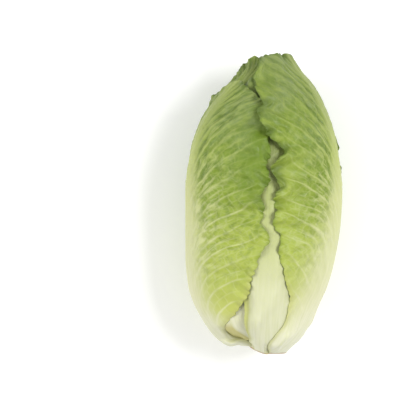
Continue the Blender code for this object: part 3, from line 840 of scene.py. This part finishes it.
def stem_material():
    material, graph, shader = new_material("stem")
    place = graph.attribute("place")
    radius, up, turn = graph.split(place)
    grain = graph.noise(place, 0.7, 4.0)
    dots_place = graph.add("ShaderNodeCombineXYZ", {0: turn, 1: graph.times(radius, 0.35)})
    dots = graph.add("ShaderNodeTexVoronoi", {"Vector": dots_place, "Scale": 0.55}, voronoi_dimensions="2D")
    ring = graph.ease(radius, 4.6, 5.6), graph.ease(radius, 6.4, 7.2, 1.0, 0.0)
    ring = graph.times(*ring, graph.ease(dots, 0.15, 0.5, 0.8, 0.25))
    rim = graph.ease(graph.math("ADD", radius, grain), 8.2, 9.3)
    on_cut = graph.ease(up, 0.7, 1.2, 1.0, 0.0)
    colour = graph.mix(graph.ease(grain, 0.4, 0.7), STEM_CREAM, STEM_GREEN)
    colour = graph.layer(colour, SAP_GREEN, ring, on_cut)
    colour = graph.layer(colour, BROWN_CUT, rim, on_cut, 0.8)
    colour = graph.layer(colour, DRY_BROWN, graph.ease(grain, 0.5, 0.8, 0.0, 0.45), on_cut)
    graph.put(shader.inputs["Base Color"], colour)
    graph.put(shader.inputs["Roughness"], graph.ease(grain, 0.3, 0.7, 0.4, 0.65))
    bump = graph.add("ShaderNodeBump", {"Height": grain, "Strength": 0.5, "Distance": 0.4 * MM})
    graph.put(shader.inputs["Normal"], bump)
    return material


# %% [markdown]
# The stem is turned from a profile: a grid is wrapped round the axis and joined at its seam. Its cut face
# sinks a little towards the middle, and slow noise makes it uneven. Each point keeps its radius, height and
# turn for the material, so the ring of channels is a matter of radius.

# %% The cut stem
STEM_PROFILE = ((0, 0.6), (3, 0.5), (6, 0.15), (8.3, 0), (8.9, 0.5), (9, 6), (7.4, 18), (5.2, 32), (3.2, 50),
                (1.2, 62), (0, 64))
STEM_SIDES = 128
STEM_STEPS = 60
MERGE = 0.001 * MM


def make_stem():
    bm = bmesh.new()
    bmesh.ops.create_grid(bm, x_segments=STEM_SIDES, y_segments=STEM_STEPS, size=1)
    layer = bm.verts.layers.float_vector.new("place")
    radii, heights = np.array(STEM_PROFILE).T
    passed = np.linspace(0, 1, len(radii))
    for vert in bm.verts:
        turn, step = math.pi * vert.co.x, (vert.co.y + 1) / 2
        radius, up = np.interp(step, passed, radii), np.interp(step, passed, heights)
        rough = noise.noise((radius * math.cos(turn) / 2.5, radius * math.sin(turn) / 2.5, up / 6))
        radius = radius * (1 + 0.01 * rough)
        up = max(up + 0.3 * rough * (up < 1), 0)
        vert[layer] = (radius, up, turn * 6)
        vert.co = to_world(up * MM / HEAD_LENGTH, turn, radius * MM)
    bmesh.ops.remove_doubles(bm, verts=bm.verts, dist=MERGE)
    piece = add_object("stem_cut", bm, stem_material())
    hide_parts("stem")
    print("stem faces:", len(piece.data.polygons))


make_stem()

# %% [markdown]
# Now the leaves themselves, from the heart outwards. The seven leaves of the heart follow one rule: each
# stands a golden angle on from the last and a little further out, which is how the plant grows them.

# %% The heart
HEART_LEAVES = 7
GOLDEN_ANGLE = 137.5


def heart_leaf(i):
    out = i / (HEART_LEAVES - 1)
    middle = (250 + GOLDEN_ANGLE * i) % 360
    reach = 62 + 6 * out
    return leaf(
        f"inner_leaf_{i + 1}", 0.20 - 0.15 * out, 0.87 + 0.09 * out, ((0, middle), (1, middle + 10)),
        ((0, middle - 52), (0.3, middle - reach), (0.8, middle - reach), (1, middle - 45)),
        ((0, middle + 52), (0.3, middle + reach), (0.8, middle + reach), (1, middle + 65)),
        depth=((0, 3), (0.1, 6), (0.5, 31 - 17 * out), (0.8, 20 - 11 * out), (0.9, 12 - 5 * out), (1, 4)),
        waves=7, phase=1.3 * i, tip_round=0.07, columns=8, rows=17, fine=(60, 120),
        loose=((0, 0.3), (0.8, 0.4), (0.92, 1), (1, 1)),
        ruffle=((0, 0.4), (0.8, 0.6), (0.92, 1.6), (1, 1.6)),
        pale=((0, 30), (0.3, 14), (0.5, 7), (0.7, 4), (0.9, 2), (1, 1.5)), seed=20.0 + i,
    )


for i in range(HEART_LEAVES):
    make_leaf(heart_leaf(i), heart_look)

# %% [markdown]
# Five leaves make the outside. The front leaf shows its wide cream rib at the bottom of the head, and the
# left and right leaves fold over it, with margins that wander as on the real head and press on it at the
# base. The left leaf has a broken lip there, and behind it shows the base of the upper left leaf, whose
# ruffled tip stands out at the top. That base is tinted olive, partly as dry tissue and partly as painted
# shade of the hollow under the lip. The back leaf carries the weight.

# %% The outer leaves
OUTER_LEAVES = (
    leaf("upper_left_leaf", 0.03, 0.99, ((0, 116), (0.1, 128), (0.5, 124), (0.85, 128), (1, 118)),
         ((0, 108), (0.1, 98), (0.3, 72), (0.6, 62), (0.85, 66), (1, 68)),
         ((0, 124), (0.03, 124), (0.06, 136), (0.1, 150), (0.16, 166), (0.3, 180), (0.6, 190),
          (0.85, 190), (1, 176)),
         depth=((0, 5), (0.15, 5), (0.4, 8), (0.7, 8), (0.85, 4.5), (0.92, 4.2), (0.95, 3.2),
                (0.98, 1), (1, 0.5)),
         phase=0.4, tip_round=0.07, columns=12, rows=28, loose=((0, 0.4), (0.84, 0.4), (0.9, 1), (1, 1)),
         ruffle=((0, 0.6), (0.9, 0.6), (0.96, 2.6), (1, 2.8)), stain=((0, 1), (0.085, 1), (0.11, 0)),
         pale=((0, 60), (0.1, 30), (0.3, 20), (0.5, 10), (0.7, 4), (0.85, 1), (1, 0.5)),
         lobes=((0, 8), (0.06, 9), (0.1, 6.5), (0.15, 0), (0.8, 0), (0.88, -4), (0.97, -4), (1, -2)),
         press=((0.8, 0), (0.87, 2.4), (0.95, 2.6), (1, 1.5)), seed=1.0),
    leaf("front_leaf", 0.0, 0.945, ((0, 92), (0.2, 90), (1, 84)),
         ((0, 80), (0.03, 70), (0.06, 58), (0.1, 50), (0.3, 35), (0.6, 25), (0.85, 35), (1, 50)),
         ((0, 142), (0.02, 127), (0.05, 116), (0.1, 114), (0.18, 112), (0.26, 116), (0.4, 130),
          (0.6, 145), (0.85, 132), (1, 120)),
         depth=((0, 0.5), (0.1, 0.8), (0.2, 2.5), (0.35, 5.5), (0.6, 7.5), (1, 6)), phase=2.1, rows=32,
         pale=((0, 22), (0.05, 13), (0.12, 11), (0.2, 10), (0.28, 8), (0.36, 5.5), (0.45, 4.5), (1, 2)),
         pale_power=7, pale_low=1.7, loose=((0, 0.5), (1, 0.5)), ruffle=((0, 0.5), (1, 0.7)),
         lobes=((0, -2), (0.05, -3), (0.16, -3.2), (0.22, -1.5), (0.3, 0)),
         lift=((0, 0), (0.34, 0), (0.44, 1.2), (0.6, 1.2), (0.7, 0)), seed=2.0),
    leaf("left_leaf", 0.005, 0.915,
         ((0, 178), (0.3, 169), (0.6, 165), (0.74, 160), (0.8, 152), (0.86, 138), (0.92, 128)),
         ((0, 150), (0.02, 142), (0.04, 146), (0.07, 140), (0.096, 134), (0.12, 124), (0.143, 115),
          (0.17, 109), (0.22, 101), (0.3, 97), (0.37, 89), (0.48, 93), (0.6, 88), (0.75, 82), (0.86, 92),
          (0.92, 104)),
         ((0, 232), (0.1, 228), (0.3, 240), (0.6, 250), (0.75, 240), (0.84, 215), (0.92, 186)),
         low_tuck=4.5, high_tuck=4, waves=9, phase=0.9, tip_round=0.08, rows=38, pale_low=0.88,
         ruffle=((0, 0.8), (0.15, 1.6), (0.62, 2), (0.7, 0.8), (0.83, 0.8), (0.88, 1.8), (1, 2)),
         flare=((0, 0), (0.78, 0), (0.86, 1.3), (1, 2)), droop=3.2, taper=4,
         low_lobes=((0, 0), (0.03, 0), (0.05, -6), (0.07, -5.5), (0.1, 0), (0.6, 0), (0.65, -2.5),
                    (0.7, -2.8), (0.77, 0)),
         low_press=((0, 1.6), (0.03, 1.7), (0.045, 2.3), (0.06, 3.5), (0.08, 3.6), (0.1, 2.6), (0.13, 2.2),
                    (0.16, 4), (0.18, 4), (0.2, 3), (0.26, 1.6), (0.42, 1.4), (0.48, 0.8), (0.56, 0)),
         seed=3.0),
    leaf("right_leaf", 0.0, 1.0, ((0, 12), (0.3, 13), (0.6, 15), (0.8, 19), (0.9, 20), (1, 26)),
         ((0, -48), (0.1, -46), (0.3, -62), (0.6, -74), (0.85, -60), (1, -30)),
         ((0, 74), (0.03, 84), (0.06, 77), (0.12, 63), (0.16, 61), (0.22, 69), (0.3, 77), (0.5, 84),
          (0.6, 85), (0.66, 79), (0.73, 90), (0.79, 96), (0.84, 94), (0.88, 102), (1, 100)),
         low_tuck=4, waves=10, phase=2.6, tip_round=0.012, rows=38,
         ruffle=((0, 0.6), (0.3, 0.9), (0.5, 2.4), (0.8, 3.2), (0.9, 1.8), (1, 1.6)),
         pale=((0, 60), (0.06, 44), (0.11, 32), (0.16, 28), (0.28, 25), (0.4, 21.5), (0.5, 16),
               (0.6, 10.5), (0.7, 7.5), (0.8, 6), (0.9, 3.5), (1, 1.5)),
         loose=((0, 1), (0.8, 1), (0.9, 0.6), (1, 0.4)),
         press=((0, 5.4), (0.02, 6.4), (0.04, 3.8), (0.06, 2.5), (0.08, 2.1), (0.1, 2.2), (0.12, 2),
                (0.15, 1.6), (0.19, 1.7), (0.22, 1.5), (0.26, 2.2), (0.3, 1.4), (0.37, 3), (0.42, 1.6),
                (0.46, 2.4), (0.55, 0), (0.61, 0), (0.67, 2.2), (0.73, 0)),
         lobes=((0.1, 0), (0.15, 1.5), (0.21, -0.4), (0.3, 0), (0.38, -1), (0.45, 0.6), (0.5, 0.2),
                (0.55, -4), (0.59, 0.6), (0.63, 1), (0.664, -1.8), (0.7, -0.3), (0.744, -1.8),
                (0.777, 1.4), (0.8, 1.4), (0.827, -2.6), (0.85, -0.4), (0.88, 1), (0.95, 0)), seed=4.0),
    leaf("back_leaf", 0.0, 0.97, ((0, 270), (1, 266)),
         ((0, 226), (0.1, 224), (0.3, 213), (0.6, 208), (0.8, 214), (0.9, 226), (1, 236)),
         ((0, 316), (0.1, 318), (0.3, 330), (0.55, 342), (0.68, 351), (0.78, 338), (0.9, 320), (1, 304)),
         phase=4.0, tip_round=0.08, ruffle=((0, 0.4), (1, 0.5)),
         lobes=((0.45, 0), (0.58, -3.2), (0.74, -3.2), (0.82, 0)), seed=5.0),
)

for each in OUTER_LEAVES:
    make_leaf(each, front_look if each.name == "front_leaf" else outer_look)

# %% [markdown]
# The head was photographed from straight above against white, in soft even light. The camera looks down
# with the tips at the top of the picture, from far away, so the head isn't distorted. A large lamp on each
# side gives the leaves their form, and a bright sky fills the shadows.

# %% Floor, light and camera
PIXEL = 0.6172 * MM
IMAGE = 400
CAMERA_HEIGHT = 1.2
SENSOR = 36.0
HEAD_AXIS_PIXEL = 264
BASE_PIXEL = 353

bm = bmesh.new()
bmesh.ops.create_grid(bm, x_segments=1, y_segments=1, size=3)
floor_mesh = bpy.data.meshes.new("floor")
bm.to_mesh(floor_mesh)
bm.free()
floor = in_scene("floor", floor_mesh)
floor_look, _, floor_shader = new_material("pale_floor")
floor_shader.inputs["Base Color"].default_value = linear(252, 252, 252)
floor_shader.inputs["Roughness"].default_value = 0.9
floor_shader.inputs["Emission Color"].default_value = (1, 1, 1, 1)
floor_shader.inputs["Emission Strength"].default_value = 0.1
floor.data.materials.append(floor_look)


def add_lamp(name, place, target, size, power):
    lamp = bpy.data.lights.new(name, "AREA")
    lamp.size, lamp.energy = size, power
    obj = in_scene(name, lamp)
    obj.location = place
    aim = target - obj.location
    obj.rotation_euler = aim.to_track_quat("-Z", "Y").to_euler()


middle = (cad_low + cad_high) / 2
add_lamp("left_lamp", (-0.9, 0.1, 0.9), middle, 0.6, 5.5)
add_lamp("right_lamp", (0.7, 0.2, 1.1), middle, 0.45, 9)
world = bpy.data.worlds.new("studio")
bpy.context.scene.world = world
world.use_nodes = True
sky = world.node_tree.nodes["Background"]
sky.inputs["Color"].default_value = (1, 1, 1, 1)
sky.inputs["Strength"].default_value = 0.58

camera = in_scene("camera", bpy.data.cameras.new("camera"))
bpy.context.scene.camera = camera
across_picture = AXIS_X + (IMAGE / 2 - HEAD_AXIS_PIXEL) * PIXEL
up_picture = BASE_Y + (BASE_PIXEL - IMAGE / 2) * PIXEL
camera.location = (across_picture, up_picture, AXIS_Z + CAMERA_HEIGHT)
camera.data.sensor_width = SENSOR
camera.data.lens = SENSOR * CAMERA_HEIGHT / (IMAGE * PIXEL)
bpy.context.scene.view_settings.view_transform = "Standard"
print("camera at", [round(v, 3) for v in camera.location], "lens", round(camera.data.lens, 1))
